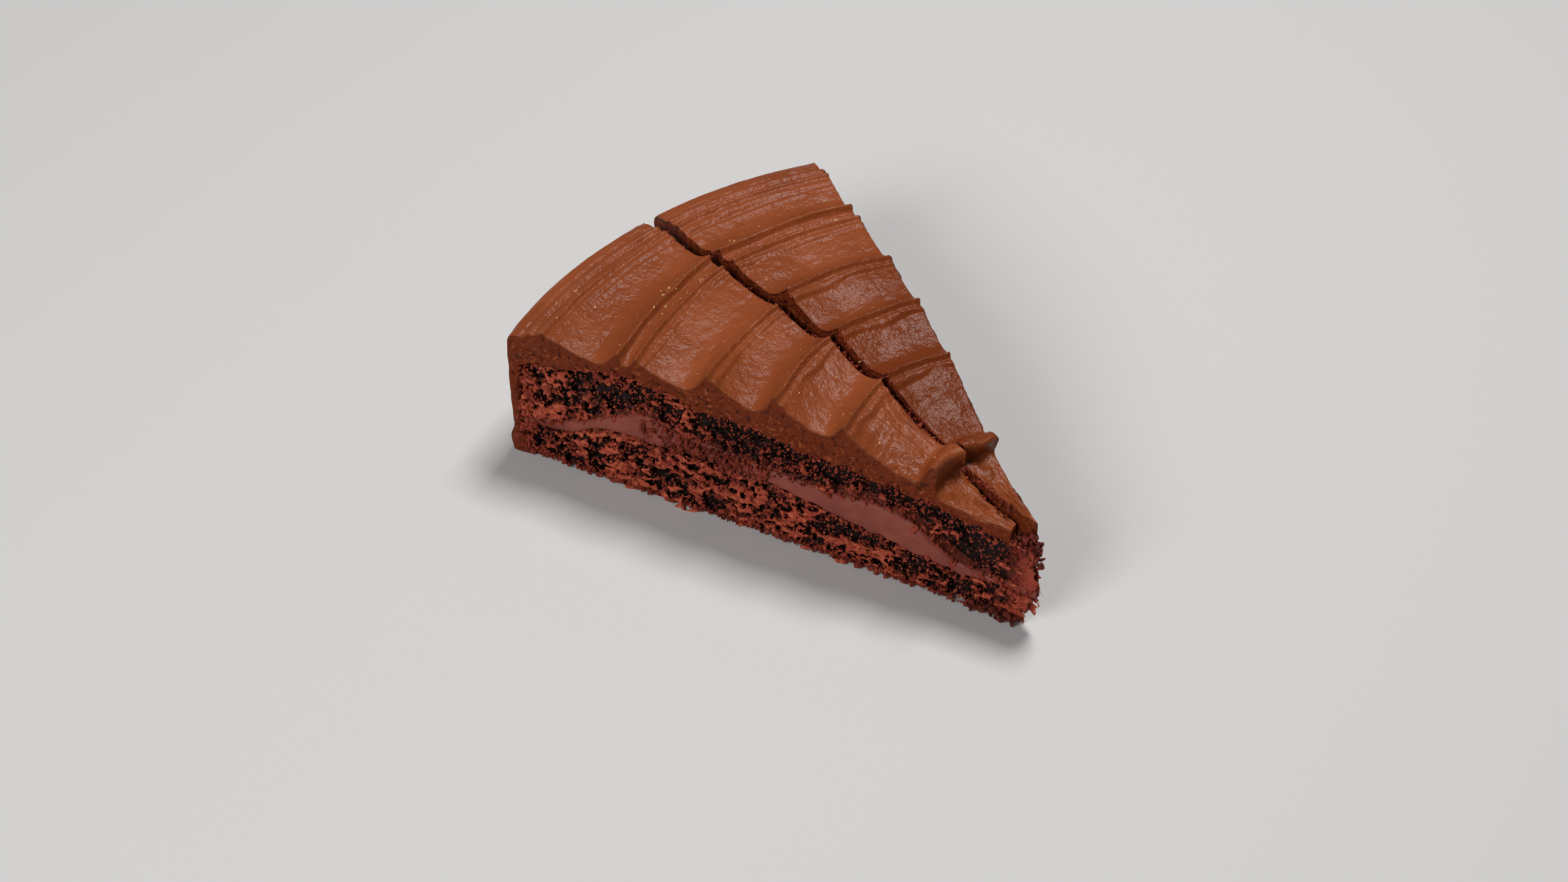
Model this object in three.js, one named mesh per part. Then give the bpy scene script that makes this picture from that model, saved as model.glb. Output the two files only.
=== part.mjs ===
// A slice of two-layer chocolate cake: one eighth of a 250 mm round cake, cut once more along its
// middle, so that two thin wedges stand side by side with a narrow cut between them.
// Each half is built from the bottom up: a lower sponge, a cream filling, an upper sponge, and the
// frosting, which is a ridged slab on top and turns down over the rim as a thin wall.
//
// Millimetres, +Z up. The slice rests on z = 0, its tip points to +X and its rim to -X.
// The near half is on the -Y side and the far half on the +Y side.
import * as THREE from 'three';

// Driving dimensions: the cake and its cuts
const CAKE_RADIUS = 125;
const NEAR_ANGLE = 23.7; // degrees that each half takes out of the round
const FAR_ANGLE = 21.0;
const CUT_GAP_AT_TIP = 0.8;
const CUT_GAP_AT_RIM = 3.5;
const TIP_START = 2.5; // where the blunt tip begins, from the cake's centre
const TIP_WIDENING = 0.9;
const TIP_LEAN = 2.5; // how far the tip leans out past the cake's centre, and its belly more
const TIP_BELLY = 2.8;
const TIP_REACH = 14;
const CLEARANCE = 0.3; // between pieces that touch

// Heights of the layers: [distance from the cake's centre, height]
const LOWER_SPONGE_TOP = [
  [0, 10.2], [20, 9.6], [36, 11.9], [48, 13.6], [60, 15.6], [90, 15.3], [102, 15.4], [112, 9.9],
  [125, 7.5],
];
const UPPER_SPONGE_FOOT = [
  [0, 12.4], [20, 13.4], [28, 18.8], [52, 19.2], [76, 20.0], [84, 20.4], [92, 23.6], [101, 19.4],
  [112, 13.2], [125, 11.0],
];
const FROSTING_FOOT = [
  [0, 23.2], [16, 25.2], [30, 27.8], [50, 28.8], [66, 30.8], [78, 31.4], [90, 33.2], [102, 33.0],
  [113, 30.0], [125, 25.6],
];
const FROSTING_VALLEYS = [
  [0, 27.6], [15, 27.4], [32, 31.8], [52, 34.6], [68, 35.4], [106, 34.7], [118, 35.0], [125, 34.2],
];
const LAYER_WAVE = 0.5; // the layers rise and fall by this much across the slice

// Frosting ridges: where the crest is at the near face, how high it stands above the valleys there,
// how far it takes to fall towards the rim and towards the tip, how far the crest drifts to the rim
// across the slice, and the share of its height that is left at the near half's cut, at the far
// half's cut and at the far face
const RIDGES = [
  [117.2, 3.0, 5.0, 5.2, 0.6, 0.50, 0.50, 0.60],
  [98.9, 4.3, 3.2, 2.4, 4.4, 0.80, 0.95, 0.65],
  [94.4, 4.6, 2.6, 7.4, 4.6, 0.66, 0.80, 0.55],
  [77.4, 6.4, 3.0, 6.6, 3.6, 0.36, 1.00, 0.32],
  [61.6, 6.5, 2.9, 6.8, 2.8, 0.62, 1.00, 0.30],
  [45.4, 6.0, 3.2, 7.6, 2.4, 0.66, 0.88, 0.32],
  [25.0, 7.8, 2.8, 2.4, 0.0, 0.52, 0.66, 0.50],
].map(([crest, height, rimFall, tipFall, drift, nearCut, farCut, farFace]) => {
  return { crest, height, rimFall, tipFall, drift, nearCut, farCut, farFace };
});
const RIM_ROUNDNESS = 1.6; // how rounded a crest is on its rim side, and on its tip side
const TIP_ROUNDNESS = 1.2;
const RIDGE_WANDER = 0.4;
const NEAR_FADE = 8; // how far from its outer face the ridges of a half change their height
const FAR_FADE = 15;
const CURL_CREST = 25.0; // the innermost ridge is rolled over towards the tip
const CURL_REACH = 1.6;
const CURL_WIDTH = 2.0;

// The frosting wall on the rim
const COAT = 2.0;
const COAT_FOOT = 2.4; // how much thicker the wall is where it meets the plate
const COAT_FOOT_HEIGHT = 8;
const RIM_SHOULDER = 0.9; // rounding of the top outer edge
const RIM_BULGE = 0.5;

// How finely the surfaces are divided
const TOP_STEPS = 62;
const LAYER_STEPS = 22;
const WALL_STEPS = 10;
const SLICES = 8;

const COLOURS = {
  sponge: 0x4a2416,
  filling: 0x74443a,
  frosting: 0x7d4a32,
};

const lerp = THREE.MathUtils.lerp;
const clamp = THREE.MathUtils.clamp;

// A smooth height through knots of [distance, height], level beyond the first and the last.
function levelThrough(knots) {
  const slopeAt = (i) => {
    const before = knots[Math.max(i - 1, 0)];
    const after = knots[Math.min(i + 1, knots.length - 1)];
    return (after[1] - before[1]) / (after[0] - before[0]);
  };
  return (distance) => {
    const last = knots.length - 1;
    const at = clamp(distance, knots[0][0], knots[last][0]);
    let i = 0;
    while (i < last - 1 && at > knots[i + 1][0]) i += 1;
    const span = knots[i + 1][0] - knots[i][0];
    const t = (at - knots[i][0]) / span;
    const startWeight = 2 * t ** 3 - 3 * t ** 2 + 1;
    const bend = slopeAt(i) * (t ** 3 - 2 * t ** 2 + t) + slopeAt(i + 1) * (t ** 3 - t ** 2);
    return startWeight * knots[i][1] + (1 - startWeight) * knots[i + 1][1] + span * bend;
  };
}

const lowerSpongeTop = levelThrough(LOWER_SPONGE_TOP);
const upperSpongeFoot = levelThrough(UPPER_SPONGE_FOOT);
const frostingFoot = levelThrough(FROSTING_FOOT);
const frostingValleys = levelThrough(FROSTING_VALLEYS);

// The slow rise and fall of a layer, the same for every surface of the stack.
function layerWave(radius, angle) {
  const reach = clamp(radius / 40, 0, 1);
  return LAYER_WAVE * reach * Math.sin(radius / 11 + 5 * angle) * Math.cos(7 * angle);
}

// How much of a ridge's height is left at a distance inwards from the outer face.
function ridgeShare(half, ridge, inwards) {
  return half.side < 0
    ? lerp(ridge.nearCut, 1, Math.exp(-inwards / NEAR_FADE))
    : lerp(ridge.farCut, ridge.farFace, Math.exp(-inwards / FAR_FADE));
}

// The valleys are shallower away from the near face, most of all along the far face.
function valleyRise(half, radius, inwards) {
  const hump = (centre, width) => Math.exp(-(((radius - centre) / width) ** 2));
  if (half.side < 0) return 1.7 * (1 - Math.exp(-inwards / 20)) * hump(68, 34);
  return (0.5 + 3.2 * Math.exp(-inwards / 14)) * hump(64, 34) + 3.0 * hump(8, 20);
}

// The height of the frosting's top: valleys that climb from the tip, with a ridge on each crest.
function frostingTop(half, radius, angle) {
  const inwards = radius * Math.abs(angle - half.outer);
  const turned = (angle + halfSlice) / (2 * halfSlice);
  const ridges = RIDGES.map((ridge, i) => {
    const wander = RIDGE_WANDER * Math.sin(9 * angle + 2.1 * i);
    const away = radius - ridge.crest - ridge.drift * turned - wander;
    const fall = away > 0 ? ridge.rimFall : ridge.tipFall;
    const roundness = away > 0 ? RIM_ROUNDNESS : TIP_ROUNDNESS;
    const left = ridge.height * ridgeShare(half, ridge, inwards);
    return left * Math.exp(-(Math.abs(away / fall) ** roundness));
  });
  const highest = ridges.reduce((sum, height) => Math.hypot(sum, height), 0);
  return frostingValleys(radius) + valleyRise(half, radius, inwards) + highest;
}

// How far a point leans towards +X: the whole tip, and the rolled lip of the innermost ridge.
function tipLean(radius, height) {
  const belly = TIP_BELLY * Math.sin(Math.PI * clamp(height / 27, 0, 1));
  return (TIP_LEAN + belly) * Math.exp(-(radius - TIP_START) / TIP_REACH);
}

function curlLean(radius) {
  return CURL_REACH * Math.exp(-(((radius - CURL_CREST) / CURL_WIDTH) ** 2));
}

const coatThickness = (height) => {
  const low = clamp(1 - height / COAT_FOOT_HEIGHT, 0, 1);
  return COAT + COAT_FOOT * low ** 2;
};

// Each half lies between its outer face and the cut, as angles from the middle of the slice.
const halfSlice = THREE.MathUtils.degToRad(NEAR_ANGLE + FAR_ANGLE) / 2;
const cutAngle = THREE.MathUtils.degToRad(NEAR_ANGLE) - halfSlice;
const HALVES = [
  { name: 'near', side: -1, outer: -halfSlice },
  { name: 'far', side: 1, outer: halfSlice },
];

// The place of a point of one half: across runs from 0 on the outer face to 1 at the cut.
function place(half, across, point) {
  const { radius, height, lean = 0 } = point;
  const gap = lerp(CUT_GAP_AT_TIP, CUT_GAP_AT_RIM, radius / CAKE_RADIUS) / 2;
  const inner = cutAngle + half.side * Math.asin(gap / radius);
  const angle = lerp(half.outer, inner, across);
  const widening = TIP_WIDENING * Math.exp(-(radius - TIP_START) / 5) * (1 - across);
  const x = -radius * Math.cos(angle) + lean + tipLean(radius, height);
  const y = radius * Math.sin(angle) + half.side * widening;
  return new THREE.Vector3(x, y, height);
}

const angleAcross = (half, across) => lerp(half.outer, cutAngle, across);

// A closed solid from like outlines, one for each slice from the outer face to the cut.
function loft(half, outlineAt) {
  const outlines = [];
  for (let j = 0; j <= SLICES; j += 1) {
    outlines.push(outlineAt(angleAcross(half, j / SLICES)));
  }
  const count = outlines[0].length;
  const points = outlines.flatMap((outline, j) => outline.map((p) => place(half, j / SLICES, p)));
  const triangles = [];
  for (let j = 0; j < SLICES; j += 1) {
    for (let i = 0; i < count; i += 1) {
      const a = j * count + i;
      const b = j * count + ((i + 1) % count);
      triangles.push([a, b, a + count], [b, b + count, a + count]);
    }
  }
  [0, SLICES].forEach((j) => {
    const flat = outlines[j].map((p) => new THREE.Vector2(p.radius - (p.lean ?? 0), p.height));
    const cap = THREE.ShapeUtils.triangulateShape(flat, []);
    const turned = THREE.ShapeUtils.isClockWise(flat) === (j === 0);
    cap.forEach(([a, b, c]) => {
      const face = turned ? [a, b, c] : [a, c, b];
      triangles.push(face.map((k) => k + j * count));
    });
  });
  return outwards(points, triangles);
}

// The geometry with its faces turned outwards, told by the sign of the enclosed volume.
function outwards(points, triangles) {
  const volume = triangles.reduce((sum, [a, b, c]) => {
    const crossed = new THREE.Vector3().crossVectors(points[b], points[c]);
    return sum + points[a].dot(crossed);
  }, 0);
  const faces = volume > 0 ? triangles : triangles.map(([a, b, c]) => [a, c, b]);
  const geometry = new THREE.BufferGeometry();
  const places = points.flatMap((p) => p.toArray());
  geometry.setAttribute('position', new THREE.Float32BufferAttribute(places, 3));
  geometry.setIndex(faces.flat());
  geometry.computeVertexNormals();
  return geometry;
}

function steps(from, to, count) {
  return Array.from({ length: count + 1 }, (_, i) => lerp(from, to, i / count));
}

// A layer that lies between two heights and ends at the frosting wall.
function layerOutline(angle, footAt, topAt) {
  const surface = (heightAt) => {
    const end = CAKE_RADIUS - CLEARANCE - coatThickness(heightAt(CAKE_RADIUS, angle));
    return steps(TIP_START, end, LAYER_STEPS).map((radius) => {
      return { radius, height: heightAt(radius, angle) };
    });
  };
  return [...surface(footAt), ...surface(topAt).reverse()];
}

const waved = (level, shift) => (radius, angle) => level(radius) + layerWave(radius, angle) + shift;

// The frosting: the slab's underside, the wall down to the plate and up its outside, and the ridges.
function frostingOutline(half, angle) {
  const footAt = waved(frostingFoot, 0);
  const wallTop = footAt(CAKE_RADIUS - COAT, angle);
  const underside = steps(TIP_START, CAKE_RADIUS - COAT, LAYER_STEPS).map((radius) => {
    return { radius, height: footAt(radius, angle) };
  });
  const wallInside = steps(wallTop, 0, WALL_STEPS).slice(1).map((height) => {
    return { radius: CAKE_RADIUS - coatThickness(height), height };
  });
  const shoulder = frostingTop(half, CAKE_RADIUS, angle) - RIM_SHOULDER;
  const wallOutside = steps(0, shoulder, WALL_STEPS).map((height) => {
    const bulge = RIM_BULGE * (Math.sin((Math.PI * height) / shoulder) - 1);
    return { radius: CAKE_RADIUS + bulge, height };
  });
  const ridges = steps(CAKE_RADIUS - RIM_SHOULDER, TIP_START, TOP_STEPS).map((radius) => {
    return { radius, height: frostingTop(half, radius, angle), lean: curlLean(radius) };
  });
  return [...underside, ...wallInside, ...wallOutside, ...ridges];
}

function pieceMesh(name, geometry, colour, roughness) {
  const material = new THREE.MeshStandardMaterial({ color: colour, roughness, metalness: 0 });
  const mesh = new THREE.Mesh(geometry, material);
  mesh.name = name;
  return mesh;
}

const slice = new THREE.Group();
HALVES.forEach((half) => {
  const lowerSponge = loft(half, (angle) =>
    layerOutline(angle, () => 0, waved(lowerSpongeTop, 0)));
  const filling = loft(half, (angle) =>
    layerOutline(angle, waved(lowerSpongeTop, CLEARANCE), waved(upperSpongeFoot, 0)));
  const upperSponge = loft(half, (angle) =>
    layerOutline(angle, waved(upperSpongeFoot, CLEARANCE), waved(frostingFoot, -CLEARANCE)));
  const frosting = loft(half, (angle) => frostingOutline(half, angle));
  slice.add(
    pieceMesh(`sponge_lower_${half.name}`, lowerSponge, COLOURS.sponge, 0.9),
    pieceMesh(`filling_${half.name}`, filling, COLOURS.filling, 0.6),
    pieceMesh(`sponge_upper_${half.name}`, upperSponge, COLOURS.sponge, 0.9),
    pieceMesh(`frosting_${half.name}`, frosting, COLOURS.frosting, 0.5),
  );
});

// The origin is under the middle of the slice's box, on the surface that it rests on.
const middle = new THREE.Box3().setFromObject(slice).getCenter(new THREE.Vector3());
slice.position.set(-middle.x, -middle.y, 0);

export default slice;
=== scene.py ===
# A slice of two-layer chocolate cake, cut once more along its middle. Lengths in this file are
# millimetres until a mesh is made, and metres in Blender. Angles are counted from the line that runs
# from the tip to the rim along the middle of the slice: the near half is negative.
import math

import bpy
import numpy as np
import openvdb
from mathutils import Matrix, Vector


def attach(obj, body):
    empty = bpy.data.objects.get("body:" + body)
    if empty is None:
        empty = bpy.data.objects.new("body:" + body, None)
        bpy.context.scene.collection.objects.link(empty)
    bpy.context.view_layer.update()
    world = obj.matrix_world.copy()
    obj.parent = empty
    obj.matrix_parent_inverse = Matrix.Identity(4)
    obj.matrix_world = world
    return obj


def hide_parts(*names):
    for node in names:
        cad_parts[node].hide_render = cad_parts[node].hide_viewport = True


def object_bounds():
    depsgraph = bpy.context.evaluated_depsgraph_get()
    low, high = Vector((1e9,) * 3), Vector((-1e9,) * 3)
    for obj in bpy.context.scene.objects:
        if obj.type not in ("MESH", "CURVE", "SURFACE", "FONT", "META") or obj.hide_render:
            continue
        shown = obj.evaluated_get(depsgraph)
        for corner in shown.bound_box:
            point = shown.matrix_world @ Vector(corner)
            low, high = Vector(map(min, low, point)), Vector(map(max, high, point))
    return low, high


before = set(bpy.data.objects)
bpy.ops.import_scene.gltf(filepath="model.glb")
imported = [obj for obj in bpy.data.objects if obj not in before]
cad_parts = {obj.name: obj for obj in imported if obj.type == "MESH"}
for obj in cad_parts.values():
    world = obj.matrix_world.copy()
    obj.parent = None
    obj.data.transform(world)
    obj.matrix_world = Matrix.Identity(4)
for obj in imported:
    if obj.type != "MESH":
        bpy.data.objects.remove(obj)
cad_low, cad_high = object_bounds()

# ---------------------------------------------------------------------------------------------
# Sponge: two layers of open, moist chocolate crumb in each half. A knife tore the cut faces, so
# the crumb shows bubbles of all sizes, thin walls and loose grains. Each layer is a skin of real
# pores along its outer face, meshed from a field, over a plain core that nothing shows.
MM = 0.001
CAKE_RADIUS = 125.0
HALF_SLICE = math.radians(22.35)
CUT_ANGLE = math.radians(1.35)
CUT_GAP_AT_TIP = 0.8
CUT_GAP_AT_RIM = 3.5
# the frosting's wall over the rim, which is thicker at its foot
COAT = 2.0
COAT_FOOT = 2.4
COAT_FOOT_HEIGHT = 8.0
RIM_CLEARANCE = 0.4
# the tip leans out past the cake's centre, with a belly half way up
TIP_LEAN = 2.5
TIP_BELLY = 2.8
TIP_HEIGHT = 27
TIP_REACH = 14.0
TIP_START = 2.5
SPONGE_LEAN_FROM = 3
NOSE_CUT = 1.2
# heights of the layers: (distance from the cake's centre, height)
LOWER_SPONGE_TOP = [
    (0, 10.2), (20, 9.6), (36, 11.9), (48, 13.6), (60, 15.6),
    (90, 15.3), (102, 15.4), (112, 9.9), (125, 7.5),
]
UPPER_SPONGE_FOOT = [
    (0, 12.4), (20, 13.4), (28, 18.8), (52, 19.2), (76, 20.0),
    (84, 20.4), (92, 23.6), (101, 19.4), (112, 13.2), (125, 11.0),
]
FROSTING_FOOT = [
    (0, 23.2), (16, 25.2), (30, 27.8), (50, 28.8), (66, 30.8),
    (78, 31.4), (90, 33.2), (102, 33.0), (113, 30.0), (125, 25.6),
]

CRUMB_GRID = 0.36
CORE_GRID = 1.2
SKIN_DEPTH = 5.0
SKIN_PROUD = 2.0
SKIN_PAST_TIP = 8.0
CORE_OVERLAP = 0.4
# the core is given the deepest painted shade
CORE_SHADE = 1.2
SMALLEST_SHELL = 400
# unevenness of the torn surface: (height, size of the lumps)
TORN_LUMPS = [(0.45, 4.0), (0.28, 1.5)]
TORN_GRAIN = [(0.20, 0.9), (0.12, 0.55)]
# no pore opens deeper than the backing, which lies close to the face where the tip is thin, or
# through the sole, which closes the foot
BACKING_AT_TIP = 0.5
BACKING_SLOPE = 0.15
BACKING_DEEPEST = 3.4
SOLE_HEIGHT = 0.8
SOLE_DEPTH = 0.7
# the painted shade of the pores is lighter on the nose, as if they were shallower
NOSE_LENGTH = 7
NOSE_FADE = 5
NOSE_LIGHTER = 0.45
apex_x = cad_low.x / MM + CAKE_RADIUS


class Half:
    """One of the two thin wedges: its outer face, and the side that it lies on."""

    def __init__(self, name, side):
        self.name = name
        self.side = side
        self.along = np.array([-math.cos(HALF_SLICE), side * math.sin(HALF_SLICE)])
        self.out = np.array([math.sin(HALF_SLICE), side * math.cos(HALF_SLICE)])

    def cut_distance(self, x, y):
        """How far a point lies past the cut, where x and y are counted from the tip."""
        past_middle = -self.side * (x * math.sin(CUT_ANGLE) + y * math.cos(CUT_ANGLE))
        return past_middle + half_gap(np.hypot(x, y))


HALVES = [Half("near", -1), Half("far", 1)]


def half_gap(radius):
    """Half the width of the cut, which opens towards the rim."""
    return np.interp(radius, (0, CAKE_RADIUS), (CUT_GAP_AT_TIP, CUT_GAP_AT_RIM)) / 2


def through(knots):
    """A smooth height through knots of (distance from the cake's centre, height)."""
    places, heights = np.array(knots, float).T
    slopes = np.gradient(heights, places)

    def height_at(radius):
        at = np.clip(radius, places[0], places[-1])
        i = np.clip(np.searchsorted(places, at) - 1, 0, len(places) - 2)
        span = places[i + 1] - places[i]
        t = (at - places[i]) / span
        blend = t * t * (3 - 2 * t)
        bend = slopes[i] * (t ** 3 - 2 * t * t + t) + slopes[i + 1] * (t ** 3 - t * t)
        return heights[i] * (1 - blend) + heights[i + 1] * blend + span * bend

    return height_at


lower_sponge_top = through(LOWER_SPONGE_TOP)
upper_sponge_foot = through(UPPER_SPONGE_FOOT)
frosting_foot = through(FROSTING_FOOT)

NOISE_CELLS = 64
noise_table = np.random.default_rng(5).uniform(-1, 1, (NOISE_CELLS,) * 3).astype(np.float32)


def noise(points, size, seed=0):
    """Smooth noise from -1 to 1 at an array of points, with lumps about size across."""
    scaled = points / np.asarray(size, np.float32) + np.float32(seed * 7.31)
    cell = np.floor(scaled).astype(np.int32)
    t = scaled - cell
    t = t * t * (3 - 2 * t)
    total = 0
    for corner in np.ndindex(2, 2, 2):
        index = tuple(((cell + corner) % NOISE_CELLS)[..., k] for k in range(3))
        weight = np.prod(np.where(np.array(corner), t, 1 - t), axis=-1)
        total = total + weight * noise_table[index]
    return total


def layered_noise(points, layers, seed):
    """Noise of several sizes at once, from layers of (height, size of the lumps)."""
    return sum(height * noise(points, size, seed + k) for k, (height, size) in enumerate(layers))


def bump(value, centre, width):
    """A smooth hump of height 1."""
    return np.exp(-(((value - centre) / width) ** 2))


def tip_lean(radius, height):
    """How far the tip leans out past the cake's centre, most at its belly."""
    belly = TIP_BELLY * np.sin(np.pi * np.clip(height / TIP_HEIGHT, 0, 1))
    return (TIP_LEAN + belly) * np.exp(-np.maximum(radius - TIP_START, 0) / TIP_REACH)


def sponge_lean(from_tip, height):
    """The same for the sponge, which leans a little less at the very tip."""
    return tip_lean(np.maximum(from_tip, 0) + SPONGE_LEAN_FROM, height)


def coat_thickness(height):
    """How thick the frosting on the rim is, from its widened foot upwards."""
    return COAT + COAT_FOOT * np.clip(1 - height / COAT_FOOT_HEIGHT, 0, 1) ** 2


def largest_shells(count, faces, least):
    """Which vertices lie on shells of at least that many vertices."""
    label = np.arange(count)
    a = faces[:, [0, 1, 2, 3]].ravel()
    b = faces[:, [1, 2, 3, 0]].ravel()
    while True:
        low = np.minimum(label[a], label[b])
        before = label.copy()
        np.minimum.at(label, a, low)
        np.minimum.at(label, b, low)
        label = label[label]
        label = label[label]
        if np.array_equal(label, before):
            break
    size = np.bincount(label, minlength=count)
    return size[label] >= least


def surface_of(field, origin, step):
    """Vertices and quads of the zero surface of a field that is negative inside."""
    grid = openvdb.FloatGrid()
    grid.copyFromArray(np.ascontiguousarray(field, np.float32))
    points, _, quads = grid.convertToPolygons(isovalue=0.0, adaptivity=0.0)
    keep = largest_shells(len(points), quads, SMALLEST_SHELL)
    quads = quads[keep[quads[:, 0]]]
    used = np.unique(quads)
    place = np.zeros(len(points), int)
    place[used] = np.arange(len(used))
    return points[used] * step + origin, place[quads]


def mesh_piece(name, points, quads, values):
    """A mesh object from millimetre points about the cake's centre, with named vertex values."""
    mesh = bpy.data.meshes.new(name)
    metres = (points + (apex_x, 0, 0)) * MM
    mesh.vertices.add(len(points))
    mesh.vertices.foreach_set("co", metres.astype(np.float32).ravel())
    mesh.loops.add(quads.size)
    mesh.loops.foreach_set("vertex_index", quads.astype(np.int32).ravel())
    mesh.polygons.add(len(quads))
    mesh.polygons.foreach_set("loop_start", np.arange(0, quads.size, 4, dtype=np.int32))
    mesh.update(calc_edges=True)
    mesh.validate()
    mesh.shade_smooth()
    for key, data in values.items():
        attribute = mesh.attributes.new(key, "FLOAT", "POINT")
        attribute.data.foreach_set("value", np.asarray(data, np.float32))
    piece = bpy.data.objects.new(name, mesh)
    bpy.context.scene.collection.objects.link(piece)
    return piece


def sponge_body(half, x, y, z, foot_at, top_at):
    """Two fields of a plain sponge layer, negative inside: its sides, and its foot and top."""
    leaned = x - sponge_lean(-x, z)
    radius = np.hypot(leaned, y)
    outer = leaned * half.out[0] + y * half.out[1]
    nose = leaned + NOSE_CUT
    rim = radius - (CAKE_RADIUS - RIM_CLEARANCE - coat_thickness(z))
    sides = np.maximum(np.maximum(outer, half.cut_distance(leaned, y)), np.maximum(nose, rim))
    return sides, np.maximum(foot_at(radius) - z, z - top_at(radius))


def stamp_bubbles(field, axes, centres, radii):
    """Digs each bubble out of the field: the field becomes the distance outside all bubbles."""
    step = axes[0][1] - axes[0][0]
    low = np.array([axis[0] for axis in axes])
    for centre, radius in zip(centres, radii):
        first = np.maximum(np.floor((centre - radius - low) / step).astype(int) - 1, 0)
        last = np.minimum(np.ceil((centre + radius - low) / step).astype(int) + 2, field.shape)
        if np.any(first >= last):
            continue
        window = tuple(slice(a, b) for a, b in zip(first, last))
        a, b, c = (((axes[k][window[k]] - centre[k]) / radius[k]) ** 2 for k in range(3))
        spread = np.sqrt(a[:, None, None] + b[None, :, None] + c[None, None, :])
        field[window] = np.minimum(field[window], (spread - 1) * radius.min())


def sponge_skin(half, foot_at, top_at, recess_at, bubbles, seed):
    """The porous skin along the outer face, in the face's own axes: along, inwards, up."""
    radii = np.arange(0, CAKE_RADIUS, 4.0)
    highest = float(np.max(top_at(radii))) + 1.5
    lowest = float(np.min(foot_at(radii))) - 1.0
    axes = (
        np.arange(-SKIN_PAST_TIP, CAKE_RADIUS, CRUMB_GRID),
        np.arange(-SKIN_PROUD, SKIN_DEPTH + 2 * CRUMB_GRID, CRUMB_GRID),
        np.arange(lowest, highest, CRUMB_GRID),
    )
    u, w, z = (a.astype(np.float32) for a in np.meshgrid(*axes, indexing="ij"))
    x = half.along[0] * u - half.out[0] * w
    y = half.along[1] * u - half.out[1] * w
    sides, ends = sponge_body(half, x, y, z, foot_at, top_at)
    points = np.stack([u, w, z], axis=-1)
    rough = layered_noise(points, TORN_LUMPS, seed)
    body = np.maximum(sides + rough + recess_at(u, z), ends + 0.5 * rough)
    body = np.maximum(body, w - SKIN_DEPTH)
    random = np.random.default_rng(100 + seed)
    centres, sizes = bubbles(random)
    holes = np.full(body.shape, 3.0, np.float32)
    stamp_bubbles(holes, axes, centres, sizes)
    grain = layered_noise(points, TORN_GRAIN, seed + 2)
    inside = w + half.out[0] * sponge_lean(u, z)
    behind = np.minimum(BACKING_AT_TIP + BACKING_SLOPE * np.maximum(u, 0), BACKING_DEEPEST) - inside
    sole = np.maximum(z - SOLE_HEIGHT, SOLE_DEPTH - inside)
    backing = np.maximum(body, np.minimum(behind, sole))
    field = np.minimum(np.maximum(body, -holes) + grain, backing + 0.5 * grain)
    for axis in range(3):
        edge = [slice(None)] * 3
        for side in (0, -1):
            edge[axis] = side
            field[tuple(edge)] = 1.0
    points, quads = surface_of(field, np.array([axis[0] for axis in axes]), CRUMB_GRID)
    flat = points[:, :1] * half.along - points[:, 1:2] * half.out
    if half.side < 0:
        quads = quads[:, ::-1]
    # how deep each vertex lies below the face, which the crumb material turns into painted shade
    depth = points[:, 1] + half.out[0] * sponge_lean(points[:, 0], points[:, 2])
    on_nose = np.clip((NOSE_LENGTH - np.maximum(points[:, 0], 0)) / NOSE_FADE, 0, 1)
    return np.column_stack([flat, points[:, 2]]), quads, depth * (1 - NOSE_LIGHTER * on_nose)


def sponge_core(half, foot_at, top_at):
    """The plain inside of the layer, from the skin's back to the cut."""
    axes = (
        np.arange(-CAKE_RADIUS, SKIN_PAST_TIP, CORE_GRID),
        np.arange(-50.0, 50.0, CORE_GRID),
        np.arange(-1.5, 36.0, CORE_GRID),
    )
    x, y, z = np.meshgrid(*axes, indexing="ij")
    sides, ends = sponge_body(half, x, y, z, foot_at, top_at)
    outer = x * half.out[0] + y * half.out[1]
    field = np.maximum(np.maximum(sides, ends), outer + SKIN_DEPTH - CORE_OVERLAP)
    points, quads = surface_of(field, np.array([axis[0] for axis in axes]), CORE_GRID)
    return points, quads, np.full(len(points), CORE_SHADE)


BUBBLE = 0.42
BUBBLE_SPREAD = 0.50
BUBBLE_RANGE = (0.32, 1.7)
CAVE_DEPTH = 0.4
CAVE_REACH = 2.6


def crumb_bubbles(count, foot_at, top_at, flatness, caves, reach=3.1):
    """Bubbles along an outer face, most of them small, and some caves: their centres and radii."""
    def scatter(random):
        along = random.uniform(-7, CAKE_RADIUS - 3, count)
        depth = random.uniform(-0.8, reach, count)
        foot, top = foot_at(along), top_at(along)
        height = foot + (top - foot) * random.uniform(-0.02, 1.02, count)
        depth = depth - math.sin(HALF_SLICE) * sponge_lean(along, height)
        size = np.clip(BUBBLE * np.exp(BUBBLE_SPREAD * random.standard_normal(count)), *BUBBLE_RANGE)
        stretch = random.uniform(0.8, 1.5, count) * (1 + 0.7 * np.clip((60 - along) / 50, 0, 1))
        radii = np.column_stack([size * stretch, size, size * flatness(along, height)])
        centres = np.column_stack([along, depth, height])
        cave_centres = np.array([(r, CAVE_DEPTH, z) for r, z, _, _ in caves])
        cave_radii = np.array([(length, CAVE_REACH, tall) for _, _, length, tall in caves])
        return np.vstack([centres, cave_centres]), np.vstack([radii, cave_radii])
    return scatter


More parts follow.
